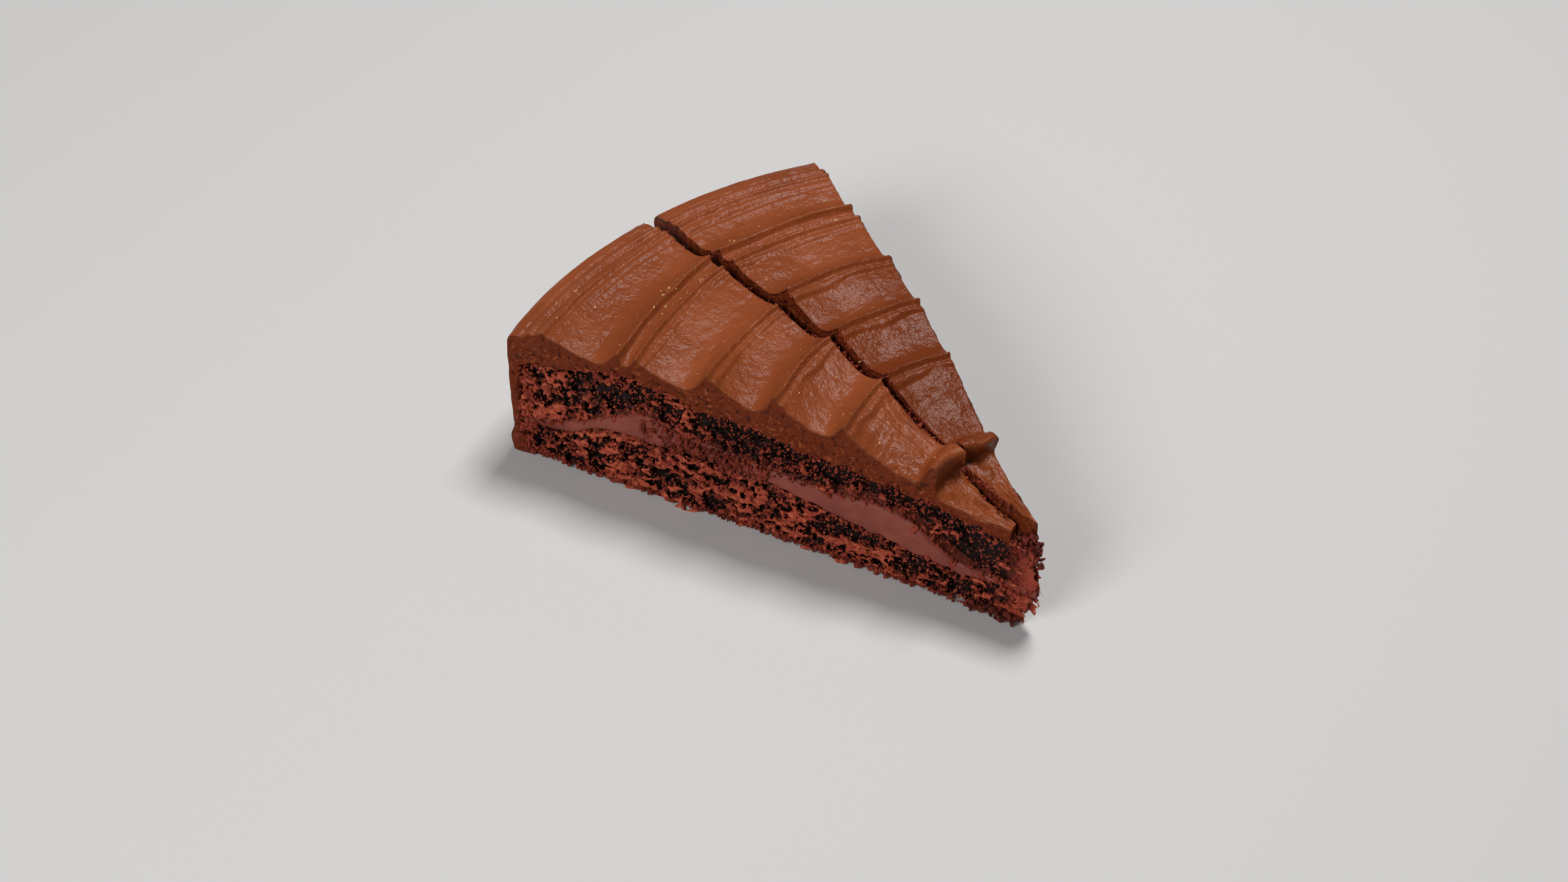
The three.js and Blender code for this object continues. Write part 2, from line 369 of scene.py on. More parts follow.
# the larger caves: distance from the tip, height, half length and half height
LOWER_CAVES = [
    (104, 6.5, 2.2, 1.3), (88, 4.2, 1.8, 1.0), (47, 7.5, 3.0, 0.9),
    (29, 5.0, 3.4, 0.9), (16, 4.0, 2.2, 2.4),
]
UPPER_CAVES = [
    (118, 24.5, 1.9, 1.5), (112, 19.5, 2.2, 1.3), (103, 25.0, 3.2, 2.2), (96, 27.5, 3.6, 1.6),
    (86, 28.5, 3.6, 1.2), (76, 26.5, 4.5, 1.5), (66, 28.0, 3.2, 1.5), (57, 26.4, 4.2, 1.4),
    (47, 26.6, 3.8, 1.3), (38, 25.6, 3.4, 1.7), (30.5, 24.8, 2.3, 1.9), (25.5, 22.6, 1.8, 1.8),
    (14, 20.0, 2.2, 1.1), (8, 15.5, 1.8, 0.9),
]


def sponge_piece(name, half, foot_at, top_at, recess_at, bubbles, seed):
    """One layer of one half: the porous skin and the plain core in one mesh."""
    skin = sponge_skin(half, foot_at, top_at, recess_at, bubbles, seed)
    core = sponge_core(half, foot_at, top_at)
    points = np.vstack([skin[0], core[0]])
    quads = np.vstack([skin[1], core[1] + len(skin[0])])
    return mesh_piece(name, points, quads, {"depth": np.concatenate([skin[2], core[2]])})


def lower_flatness(along, height):
    """Near the tip the lower sponge is pressed into thin sheets."""
    return 0.72 - 0.3 * np.clip((55 - along) / 40, 0, 1)


def lower_recess(along, height):
    """The bottom edge crumbles back, and a piece is lost near the tip."""
    frayed = 0.9 * np.exp(-height / 1.3) * (0.2 + np.sin(along / 3.1) * np.sin(along / 7.7))
    return frayed + 3.0 * bump(along, 15.5, 2.2) * np.exp(-np.maximum(height, 0) / 2.4)


def upper_flatness(along, height):
    return np.full(np.shape(along), 0.75)


def upper_recess(along, height):
    """The upper sponge is torn away under the frosting, most towards the tip."""
    under = bump(height, frosting_foot(along) - 1.8, 2.0)
    torn = 2.3 * under * np.clip((84 - along) / 12, 0, 1) * np.clip((along - 10) / 8, 0, 1)
    hollow = 2.2 * bump(along, 100, 6) * bump(height, 25.0, 2.5)
    middle = 0.8 * bump(along, 72, 12) * bump(height, 22.5, 3.0)
    return torn * (0.65 + 0.35 * np.sin(along / 2.3)) + hollow + middle


def flat_foot(radius):
    return np.zeros(np.shape(radius))


def frosting_under(radius):
    return frosting_foot(radius) - 0.15


LOWER_BUBBLES = 9800
UPPER_BUBBLES = 11500
lower_bubbles = crumb_bubbles(
    LOWER_BUBBLES, flat_foot, lower_sponge_top, lower_flatness, LOWER_CAVES, 2.8)
upper_bubbles = crumb_bubbles(
    UPPER_BUBBLES, upper_sponge_foot, frosting_under, upper_flatness, UPPER_CAVES)
sponges = []
for number, half in enumerate(HALVES):
    lower = sponge_piece(
        f"sponge_lower_{half.name}_crumb", half, flat_foot, lower_sponge_top, lower_recess,
        lower_bubbles, 10 * number)
    upper = sponge_piece(
        f"sponge_upper_{half.name}_crumb", half, upper_sponge_foot, frosting_under, upper_recess,
        upper_bubbles, 10 * number + 5)
    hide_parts(f"sponge_lower_{half.name}")
    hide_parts(f"sponge_upper_{half.name}")
    sponges += [lower, upper]


class Value:
    """A socket, or a number, that Python's operators turn into Math nodes."""

    def __init__(self, finish, socket):
        self.finish = finish
        self.socket = socket

    def join(self, operation, other, swapped=False):
        first, second = (other, self) if swapped else (self, other)
        return self.finish.node("ShaderNodeMath", {"operation": operation}, {0: first, 1: second})

    def __add__(self, other):
        return self.join("ADD", other)

    def __radd__(self, other):
        return self.join("ADD", other)

    def __sub__(self, other):
        return self.join("SUBTRACT", other)

    def __rsub__(self, other):
        return self.join("SUBTRACT", other, swapped=True)

    def __mul__(self, other):
        return self.join("MULTIPLY", other)

    def __rmul__(self, other):
        return self.join("MULTIPLY", other)

    def between(self, low, high):
        """0 below low, 1 above high, and smooth from one to the other."""
        settings = {"interpolation_type": "SMOOTHSTEP"}
        inputs = {"Value": self, "From Min": low, "From Max": high}
        return self.finish.node("ShaderNodeMapRange", settings, inputs)


def feed(tree, socket, value):
    """Links a socket to a Value or to another socket, or sets it to a number or a colour."""
    if isinstance(value, Value):
        value = value.socket
    if isinstance(value, bpy.types.NodeSocket):
        tree.links.new(value, socket)
    else:
        socket.default_value = value


def add_node(tree, kind, settings, inputs, output=0):
    """Adds a node: its settings first, and then what its sockets get."""
    made = tree.nodes.new(kind)
    for key, setting in settings.items():
        setattr(made, key, setting)
    for key, value in inputs.items():
        feed(tree, made.inputs[key], value)
    return made.outputs[output]


# where a Mix node has its colour sockets
MIX_FIRST = 6
MIX_SECOND = 7
MIX_RESULT = 2


class Finish:
    """A material, made node by node."""

    def __init__(self, name):
        self.material = bpy.data.materials.new(name)
        self.material.use_nodes = True
        self.tree = self.material.node_tree
        self.shader = self.tree.nodes["Principled BSDF"]
        self.place = self.node("ShaderNodeTexCoord", {}, {}, "Object")

    def node(self, kind, settings, inputs, output=0):
        return Value(self, add_node(self.tree, kind, settings, inputs, output))

    def noise(self, scale, detail=3.0, roughness=0.55, stretch=None):
        """Noise from 0 to 1 with about that many lumps to a metre."""
        place = self.place
        if stretch is not None:
            place = self.node("ShaderNodeMapping", {}, {"Vector": place, "Scale": stretch})
        inputs = {"Vector": place, "Scale": scale, "Detail": detail, "Roughness": roughness}
        return self.node("ShaderNodeTexNoise", {}, inputs, "Fac")

    def attribute(self, name):
        return self.node("ShaderNodeAttribute", {"attribute_name": name}, {}, "Fac")

    def mix(self, factor, first, second):
        """A blend of two colours, through the colour sockets of a Mix node."""
        first, second = (
            colour if isinstance(colour, Value) else (*colour, 1) for colour in (first, second))
        inputs = {"Factor": factor, MIX_FIRST: first, MIX_SECOND: second}
        return self.node("ShaderNodeMix", {"data_type": "RGBA"}, inputs, MIX_RESULT)

    def bumps(self, height, distance, strength=1.0, normal=None):
        inputs = {"Height": height, "Distance": distance, "Strength": strength}
        if normal is not None:
            inputs["Normal"] = normal
        return self.node("ShaderNodeBump", {}, inputs, "Normal")

    def give(self, **inputs):
        """What the shader's sockets get, with _ for each space in a socket's name."""
        for key, value in inputs.items():
            feed(self.tree, self.shader.inputs[key.replace("_", " ")], value)


crumb = Finish("chocolate_crumb")
# Painted shade and painted highlight: the crumb goes near black the deeper it lies below the face, and
# raised grains get a lighter colour as a painted highlight.
depth = crumb.attribute("depth")
grain = crumb.noise(900.0)
patches = crumb.noise(90.0)
painted_lit_share = 1 - (depth + (grain - 0.5) * 1.6).between(-0.15, 1.40)
walls = crumb.mix(patches.between(0.4, 0.62), (0.28, 0.036, 0.018), (0.38, 0.056, 0.026))
painted_lit_tops = crumb.mix(grain.between(0.35, 0.7), (0.46, 0.080, 0.036), (0.56, 0.130, 0.060))
colour = crumb.mix(painted_lit_share, (0.012, 0.003, 0.002), walls)
colour = crumb.mix(painted_lit_share.between(0.55, 1.0) * grain.between(0.4, 0.65), colour, painted_lit_tops)
crumb.give(
    Base_Color=colour,
    Roughness=0.66 - 0.32 * patches.between(0.45, 0.65),
    Normal=crumb.bumps(crumb.noise(1500.0), 0.0006),
    Specular_IOR_Level=0.20,
)
for piece in sponges:
    piece.data.materials.append(crumb.material)
    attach(piece, "root")

# ---------------------------------------------------------------------------------------------
# Filling: a band of smooth chocolate cream between the sponges. The knife drew it along the cut
# face, so its outer side stands a little proud, with soft drag lines and torn edges.
BAND_STEP = 0.45
EDGE_OFFSETS = np.array([0.0, 0.12, 0.3, 0.55, 0.85, 1.2])
FILLING_SHORT_OF_COAT = 0.6
FILLING_PROUD = 0.35
# how the knife moved the cream: (height, size of the lumps)
FILLING_WANDER = [(0.5, (7.0, 4.0, 1.0)), (0.35, (2.2, 2.0, 1.0))]
FILLING_DRAG = [(0.10, (9.0, 0.55, 1.0)), (0.07, (1.6, 0.8, 1.0))]


def loop_layout(columns, rows, under):
    """One loop: up the outer face, over to the cut, down the cut side, and back underneath.

    Gives for each point its share across, its share up from the inner to the outer profile, and
    which of the edge offsets it keeps from the outer face or from the cut.
    """
    rise = np.linspace(0, 1, rows + 1)[:-1]
    edges = len(EDGE_OFFSETS)
    middle = np.linspace(0, 1, columns + 2)[1:-1]
    back = np.linspace(1, 0, under + 2)[1:-1]
    across = [np.zeros(rows), np.zeros(edges), middle, np.ones(edges), np.ones(rows), back]
    up = [rise, np.ones(2 * edges + columns), rise[::-1], np.zeros(under)]
    from_face = np.zeros(rows + 2 * edges + columns + rows + under)
    from_face[rows:rows + edges] = EDGE_OFFSETS
    from_cut = np.zeros(len(from_face))
    from_cut[rows + edges + columns:rows + 2 * edges + columns] = EDGE_OFFSETS[::-1]
    return np.concatenate(across), np.concatenate(up), from_face, from_cut


def band(half, outer_radius, outer_height, inner_radius, inner_height, layout, shape):
    """A shell swept from the outer face to the cut between two profiles, as loops of points.

    The heights are functions of (radius, angle) or arrays. shape moves the finished points.
    """
    across, up, from_face, from_cut = layout
    radius = inner_radius[:, None] * (1 - up) + outer_radius[:, None] * up
    face = half.side * HALF_SLICE
    cut = CUT_ANGLE + half.side * np.arcsin(np.clip(half_gap(radius) / radius, 0, 0.9))
    width = np.abs(face - cut) * radius
    shrink = np.minimum(1, width / 6)
    near_edge = EDGE_OFFSETS[-1] * shrink / width
    share = near_edge + (1 - 2 * near_edge) * across
    share = np.where(up < 1, across, share)
    share = np.where((up == 1) & (across == 0), from_face * shrink / width, share)
    share = np.where((up == 1) & (across == 1), 1 - from_cut * shrink / width, share)
    angle = face + (cut - face) * share
    high = outer_height(outer_radius[:, None], angle)
    low = inner_height(inner_radius[:, None], angle)
    height = low * (1 - up) + high * up
    spots = {
        "radius": radius, "angle": angle, "height": height, "up": np.broadcast_to(up, radius.shape),
        "face": share * width, "cut": (1 - share) * width, "high": high, "low": low,
    }
    points = shape(half, spots)
    stations, loop = radius.shape
    start = np.arange(stations - 1)[:, None] * loop
    here = np.arange(loop)[None, :]
    following = (here + 1) % loop
    corners = [start + here, start + following, start + following + loop, start + here + loop]
    quads = np.stack(corners, axis=-1).reshape(-1, 4)
    first_cap = cap_quads(loop, 0)
    last_cap = cap_quads(loop, (stations - 1) * loop)
    quads = np.vstack([quads[:, ::-1], first_cap, last_cap[:, ::-1]])
    if half.side > 0:
        quads = quads[:, ::-1]
    return points.reshape(-1, 3), quads, spots


def cap_quads(loop, start):
    """Closes the end of a tube: strips of quads between the two sides of its loop."""
    a = np.arange(loop // 2 - 1)
    b = loop - 1 - a
    strips = np.stack([a, a + 1, b - 1, b], axis=-1)
    strips = strips[strips[:, 1] < strips[:, 2]]
    return strips + start


def placed(half, radius, angle, height, lean=0.0, outward=0.0):
    """Points from polar places; outward moves them off the outer face."""
    x = -radius * np.cos(angle) + lean + outward * half.out[0]
    y = radius * np.sin(angle) + outward * half.out[1]
    return np.stack([x, y, height + 0 * x], axis=-1)


def filling_shape(half, spots):
    """Proud of the crumb along the outer face, sunk where crumbs were dragged over it."""
    radius, height, up = spots["radius"], spots["height"], spots["up"]
    at_face = np.exp(-spots["face"] / 0.8)
    thickness = spots["high"] - spots["low"]
    edge = np.minimum(up, 1 - up) * thickness
    flat = np.stack([radius, height, 0 * radius], axis=-1)
    wander = layered_noise(flat, FILLING_WANDER, 41)
    drag = layered_noise(flat, FILLING_DRAG, 43)
    covered = bump(radius, 77, 10) + 0.8 * bump(radius, 118, 6) + 0.5 * bump(radius, 6, 6)
    proud = FILLING_PROUD - 1.3 * covered + 0.6 * wander
    rounded = -0.9 * np.exp(-edge / 0.45)
    torn = 0.7 * at_face * (2 * up - 1) * noise(flat * (1, 0, 0), (2.6, 1.0, 1.0), 45 + half.side)
    outward = at_face * (proud + drag + rounded)
    lean = tip_lean(radius, height)
    return placed(half, radius, spots["angle"], height + torn, lean, outward)


def layer_profile(heights):
    """The same height from the face to the cut."""
    return lambda radius, angle: heights(radius) + 0 * angle


stations = np.arange(TIP_START, CAKE_RADIUS - COAT - FILLING_SHORT_OF_COAT, BAND_STEP)
fillings = []
for half in HALVES:
    points, quads, spots = band(
        half, stations, layer_profile(upper_sponge_foot), stations, layer_profile(lower_sponge_top),
        loop_layout(columns=8, rows=26, under=8), filling_shape)
    piece = mesh_piece(f"filling_{half.name}_cream", points, quads, {"up": spots["up"].ravel()})
    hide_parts(f"filling_{half.name}")
    fillings.append(piece)

cream = Finish("chocolate_cream")
tone = cream.noise(120.0)
streaks = cream.noise(300.0, stretch=(1, 1, 4))
colour = cream.mix(tone.between(0.35, 0.65), (0.185, 0.038, 0.026), (0.245, 0.056, 0.036))
colour = cream.mix(streaks.between(0.6, 0.75) * 0.6, colour, (0.13, 0.030, 0.020))
cream.give(
    Base_Color=colour,
    Roughness=0.42 + 0.25 * streaks,
    Normal=cream.bumps(cream.noise(700.0), 0.0003, 0.6),
    Specular_IOR_Level=0.25,
)
for piece in fillings:
    piece.data.materials.append(cream.material)
    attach(piece, "root")

# ---------------------------------------------------------------------------------------------
# Frosting: thick chocolate frosting, combed with a spatula into ridges round the cake while it
# turned, and smoothed down over the rim as a thin wall. The innermost ridge is rolled into a lip.
FROSTING_VALLEYS = [
    (0, 27.6), (15, 27.4), (32, 31.8), (52, 34.6),
    (68, 35.4), (106, 34.7), (118, 35.0), (125, 34.2),
]
# each ridge: crest, height above the valleys, fall to the rim, fall to the tip, drift from face to
# face, and the share of its height at the near half's cut, the far half's cut and the far face
RIDGES = [
    (117.2, 3.0, 5.0, 5.2, 0.6, 0.5, 0.5, 0.6),
    (98.9, 4.3, 2.6, 1.9, 4.4, 0.80, 0.95, 0.65),
    (94.4, 4.6, 2.0, 7.4, 4.6, 0.66, 0.80, 0.55),
    (77.4, 6.4, 2.6, 6.6, 3.6, 0.36, 1.05, 0.32),
    (61.6, 6.5, 2.5, 6.8, 2.8, 0.62, 1.00, 0.30),
    (45.4, 6.0, 2.9, 7.6, 2.4, 0.66, 0.88, 0.32),
]
RIM_POWER = 1.5
TIP_POWER = 1.15
# the innermost ridge, and how far its lip leans over
ROLL_CREST = 25.0
ROLL_HEIGHT = 7.8
ROLL_SHARES = (0.52, 0.66, 0.50)
ROLL_REACH = 2.1
# spatula lines near the rim: (place, height)
RIM_SHOULDER = 0.9
RIM_LINES = [(122.2, -0.35), (120.9, 0.40), (119.6, -0.45), (114.6, -0.22), (113.7, 0.16)]
RIM_LINE_WIDTH = 0.45
TOP_EDGE_ROUNDING = 0.3
FROSTING_START = {"near": 6.0, "far": 2.0}
WALL_FROM = CAKE_RADIUS - 0.2
# arc lengths along the ridges are worked out at these radii
RIDGE_ARC = 60
RELIEF_ARC = 55
# unevenness: (height, size of the lumps)
SPATULA_LINES = [(0.15, (1.3, 26.0, 1.0)), (0.09, (0.7, 22.0, 1.0))]
FROSTING_LUMPS = [(0.26, 7.0), (0.06, 1.4)]
CUT_FROSTING = [(0.50, 3.4), (0.30, 1.3), (0.16, 0.65)]
frosting_valleys = through(FROSTING_VALLEYS)


def from_outer_face(half, radius, angle):
    """How far inwards a place lies, along its circle."""
    return radius * np.abs(angle - half.side * HALF_SLICE)


def ridge_share(half, inwards, near_cut, far_cut, far_face):
    """Ridges stand tall at the near face and just beyond the cut, and are flatter elsewhere."""
    if half.side < 0:
        return near_cut + (1 - near_cut) * np.exp(-inwards / 8)
    return far_cut + (far_face - far_cut) * np.exp(-inwards / 15)


def valley_rise(half, radius, angle):
    """The valleys are shallower away from the near face, and the far side of the tip is thicker."""
    inwards = from_outer_face(half, radius, angle)
    if half.side < 0:
        at_roll = 2.4 * (1 - np.exp(-inwards / 5)) * bump(radius, 26, 10)
        return 1.7 * (1 - np.exp(-inwards / 20)) * bump(radius, 68, 34) + at_roll
    return (0.5 + 3.2 * np.exp(-inwards / 14)) * bump(radius, 64, 34) + 3.0 * bump(radius, 8, 20)


def ridges_at(half, radius, angle):
    """The height of the ridges above the valleys: steep to the rim, gentle to the tip."""
    turned = angle / (2 * HALF_SLICE) + 0.5
    nought = 0 * radius + 0 * angle
    along = np.stack([nought, RIDGE_ARC * angle + 0 * radius, nought], axis=-1)
    inwards = from_outer_face(half, radius, angle)
    total = 0
    beads = 0
    for number, (crest, height, rim_fall, tip_fall, drift, *left) in enumerate(RIDGES):
        wander = 0.45 * noise(along, 9.0, 60 + number) + 0.12 * noise(along, 2.2, 90 + number)
        settled = np.minimum(turned * 1.9, 1) * 0.75 + 0.25 * turned
        away = radius - crest - drift * settled - wander
        fall = np.where(away > 0, rim_fall, tip_fall * (1 + 0.3 * noise(along, 6.0, 66 + number)))
        fall = fall * (1 + 0.6 * (1 - np.exp(-inwards / 10)))
        strength = ridge_share(half, inwards, *left)
        power = np.where(away > 0, RIM_POWER, TIP_POWER)
        ridge = height * strength * np.exp(-np.abs(away / fall) ** power)
        total = np.hypot(total, ridge)
        fold = 0.5 + 0.5 * noise(along, 5.0, 70 + number)
        bead = 0.62 * bump(away, 0.1, 0.38) - 0.42 * bump(away, -1.0, 0.55)
        step = 2.7 + 1.2 * noise(along, 7.0, 80 + number)
        terrace = 0.42 * fold * np.tanh((away + step) / 0.3) * bump(away, -step, 1.8)
        beads = beads + (bead + terrace) * min(height / 5, 1)
    roll = radius - ROLL_CREST
    roll_fall = np.where(roll > 0, 1.7 + 0.06 * inwards, 1.3)
    roll_power = np.where(roll > 0, 1.7, 3.0)
    roll_height = ROLL_HEIGHT * ridge_share(half, inwards, *ROLL_SHARES)
    total = np.hypot(total, roll_height * np.exp(-np.abs(roll / roll_fall) ** roll_power))
    wavy = 0.5 * noise(along, 12.0, 95)
    lines = sum(rise * bump(radius + wavy, place, RIM_LINE_WIDTH) for place, rise in RIM_LINES)
    return total + beads + lines


def frosting_top(half, radius, angle):
    """The height of the frosting's top."""
    valleys = frosting_valleys(radius) + valley_rise(half, radius, angle)
    return valleys + ridges_at(half, radius, angle)


def frosting_relief(half, spots):
    """The fine relief of the top: spatula lines along the ridges, wrinkles, lumps and bubbles."""
    radius, angle = spots["radius"], spots["angle"]
    flat = np.stack([radius, RELIEF_ARC * angle, 0 * radius], axis=-1)
    turned = flat - np.stack([5 * angle, 0 * angle, 0 * angle], axis=-1)
    combed = bump(radius, 41.5, 5.5) + 0.8 * bump(radius, 121, 4) + 0.6 * bump(radius, 55, 4)
    combed = 0.25 + 0.75 * np.clip(combed, 0, 1)
    patch = np.clip(0.6 + noise(turned, (6.0, 30.0, 1.0), 69), 0, 1)
    lines = layered_noise(turned, SPATULA_LINES, 70)
    rough_side = np.clip(noise(turned, (6.0, 10.0, 1.0), 72) * (1.8 if half.side < 0 else 2.6), 0, 1)
    wrinkles = 0.28 * rough_side * noise(turned, (2.4, 1.0, 1.0), 73)
    folded = np.abs(noise(turned, (3.2, 1.7, 1.0), 77))
    creases = -0.30 * rough_side * np.clip(1 - folded * 6, 0, 1)
    lumps = layered_noise(flat, FROSTING_LUMPS, 74)
    lumps = lumps + bump(radius, 12, 8) * noise(turned, (2.6, 4.2, 1.0), 78)
    bubbles = -0.8 * np.clip(noise(turned, (0.7, 1.6, 1.0), 76) - 0.5, 0, 1)
    at_cut = 0.25 + 0.9 * np.exp(-spots["cut"] / 8)
    return combed * patch * lines + (wrinkles + creases) * at_cut + lumps + bubbles


def roll_strength(half, spots):
    """The lip leans over most at the cut on the near half, and in the middle of the far half."""
    if half.side < 0:
        return 0.35 + 1.0 * np.exp(-spots["cut"] / 4)
    return 0.3 + 0.85 * bump(spots["face"], 3.6, 3.4)


def frosting_shape(half, spots):
    """Adds the relief, the rounded edges, the torn sides, the leaning lip and the rim's bulge."""
    radius, angle, height, up = (spots[key] for key in ("radius", "angle", "height", "up"))
    on_top = radius < WALL_FROM
    depth = spots["high"] - height
    near_edge = np.minimum(spots["face"], spots["cut"])
    round_off = np.clip(1 - near_edge / TOP_EDGE_ROUNDING, 0, 1)
    drop = TOP_EDGE_ROUNDING * (1 - np.sqrt(1 - round_off ** 2)) * np.exp(-depth / 0.6)
    solid = np.stack([-radius * np.cos(angle), radius * np.sin(angle), height], axis=-1)
    relief = np.where(up > 0, frosting_relief(half, spots), 0) * np.exp(-depth / 0.6)
    lifted = height + np.where(on_top, relief - drop, 0)
    below_edge = np.clip((depth + 0.3) / 1.0, 0, 1)
    side = np.exp(-spots["face"] / 0.5) * below_edge
    cut_side = np.exp(-spots["cut"] / 0.5) * below_edge
    rough = layered_noise(solid, CUT_FROSTING, 80)
    low_part = np.clip(depth / np.maximum(spots["high"] - spots["low"], 1) - 0.35, 0, 1)
    outward = side * (rough * (0.75 + low_part) + 0.35) - cut_side * rough * 0.5
    ragged = np.where(up < 0.4, 1.6 * noise(solid, (1.7, 1.7, 9.0), 83) * (0.4 - up), 0)
    ragged = ragged + np.where(up < 0.4, 1.8 * noise(solid, (5.0, 5.0, 9.0), 86) * (0.4 - up), 0)
    fold = bump(radius, ROLL_CREST - 0.5, 0.9) * np.clip((height - 30.0) / 3.0, 0, 1)
    lean = 0.3 * tip_lean(radius, height) + ROLL_REACH * fold * roll_strength(half, spots)
    wall = np.stack([RIDGE_ARC * angle, height, 0 * height], axis=-1)
    bulge = 0.22 * noise(wall, (22.0, 3.0, 1.0), 84) + 0.25 * noise(solid, 9.0, 85)
    bulge = bulge + 1.1 * np.clip((height - 6) / 16, 0, 1) * np.clip((41 - height) / 8, 0, 1)
    bulge = bulge + 0.7 * np.exp(-spots["face"] / 5) * noise(solid, 4.0, 87)
    bulge = bulge * np.clip((radius - CAKE_RADIUS + 4) / 4, 0, 1)
    return placed(half, radius + bulge, angle, lifted + ragged, lean, outward)


def frosting_profiles(start):
    """Radii of the outer and inner profile, how far the shoulder has sunk, and the share of the way
    down the wall, at each station."""
    wall_top = CAKE_RADIUS - COAT
    step = 0.3
    slab = np.arange(start, CAKE_RADIUS - RIM_SHOULDER, step)
    shoulder = np.linspace(0, np.pi / 2, 8)[1:]
    shoulder_radius = CAKE_RADIUS - RIM_SHOULDER * (1 - np.sin(shoulder))
    down = np.linspace(0, 1, 48)[1:]
    outer = np.concatenate([slab, shoulder_radius, np.full(len(down), CAKE_RADIUS)])
    sunk_on_shoulder = RIM_SHOULDER * (1 - np.cos(shoulder))
    sunk = np.concatenate([np.zeros(len(slab)), sunk_on_shoulder, np.full(len(down), RIM_SHOULDER)])
    fallen = np.concatenate([np.zeros(len(slab) + len(shoulder)), down])
    heights = 26 * (1 - fallen)
    inner = np.where(fallen > 0, CAKE_RADIUS - coat_thickness(heights), np.minimum(outer, wall_top))
    return outer, inner, sunk, fallen


def outer_height(half, sunk, fallen):
    """The top of one half's frosting, and then the way down its wall."""
    def height_at(radius, angle):
        shoulder = frosting_top(half, np.minimum(radius, CAKE_RADIUS), angle) - sunk[:, None]
        return shoulder * (1 - fallen[:, None])
    return height_at


def inner_height(fallen):
    """The frosting's underside, and then the back of its wall."""
    def height_at(radius, angle):
        foot = frosting_foot(np.minimum(radius, CAKE_RADIUS - COAT)) + 0 * angle
        return foot * (1 - fallen[:, None])
    return height_at


def frosting_shade(half, spots):
    """Painted shade towards the far half's tip and by the near half's cut, with patches of tone."""
    radius = spots["radius"]
    flat = np.stack([radius, RELIEF_ARC * spots["angle"], 0 * radius], axis=-1)
    patches = 0.35 * noise(flat, 9.0, 96)
    if half.side < 0:
        return 0.25 * bump(radius, 60, 18) * bump(spots["cut"], 2, 7) + patches
    return 1.05 * bump(radius, 45, 36) + patches


FROSTING_COLUMNS = 84
SIDE_FADE = 0.15
EDGE_SHARE = 0.06
frostings = []
for half in HALVES:
    outer, inner, sunk, fallen = frosting_profiles(FROSTING_START[half.name])
    points, quads, spots = band(
        half, outer, outer_height(half, sunk, fallen), inner, inner_height(fallen),
        loop_layout(FROSTING_COLUMNS, rows=26, under=6), frosting_shape)
    below_top = spots["high"] - spots["height"]
    depth_below = np.where(outer[:, None] < WALL_FROM, below_top, 3 * (1 - spots["up"]))
    on_side = np.exp(-np.minimum(spots["face"], spots["cut"]) / SIDE_FADE)
    on_side = on_side * np.clip(1 - spots["up"], 0, EDGE_SHARE) / EDGE_SHARE
    shade = frosting_shade(half, spots)
    piece = mesh_piece(
        f"frosting_{half.name}_spread", points, quads,
        {"side": on_side.ravel(), "below": depth_below.ravel(), "shade": shade.ravel()})
    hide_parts(f"frosting_{half.name}")
    frostings.append(piece)

frost = Finish("chocolate_frosting")
side = frost.attribute("side")
below = frost.attribute("below")
cloud = frost.noise(70.0)
fine = frost.noise(1400.0)
colour = frost.mix(cloud.between(0.35, 0.65), (0.205, 0.047, 0.014), (0.245, 0.058, 0.018))
edge_colour = frost.mix(below.between(0.0, 0.5), (0.26, 0.066, 0.018), (0.185, 0.027, 0.005))
torn = frost.noise(650.0, 5.0, 0.7)
grains = frost.noise(1100.0).between(0.54, 0.66) * (0.35 + 0.65 * below.between(1.5, 5.0))
edge_colour = frost.mix(grains * 0.8, edge_colour, (0.42, 0.105, 0.030))
# painted shade: pits in the torn sides are coloured near black
painted_pit_shade = (1 - torn.between(0.36, 0.47)) * below.between(0.3, 1.5)
edge_colour = frost.mix(painted_pit_shade, edge_colour, (0.060, 0.009, 0.002))
# painted shade from the shade attribute, darker towards the far half's tip, mixed with patches of uneven
# tone
colour = frost.mix(frost.attribute("shade").between(0.0, 1.0), colour, (0.150, 0.030, 0.007))
colour = frost.mix(side, colour, edge_colour)
relief = frost.bumps(frost.noise(420.0), 0.0007, 0.6)
relief = frost.bumps(fine, 0.00025, 0.6, relief)
relief = frost.bumps(torn * side, 0.0016, 0.9, relief)
frost.give(
    Base_Color=colour,
    Roughness=0.15 + 0.24 * cloud + 0.32 * side,
    Normal=relief,
    Specular_IOR_Level=0.13,
)
for piece in frostings:
    piece.data.materials.append(frost.material)
    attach(piece, "root")

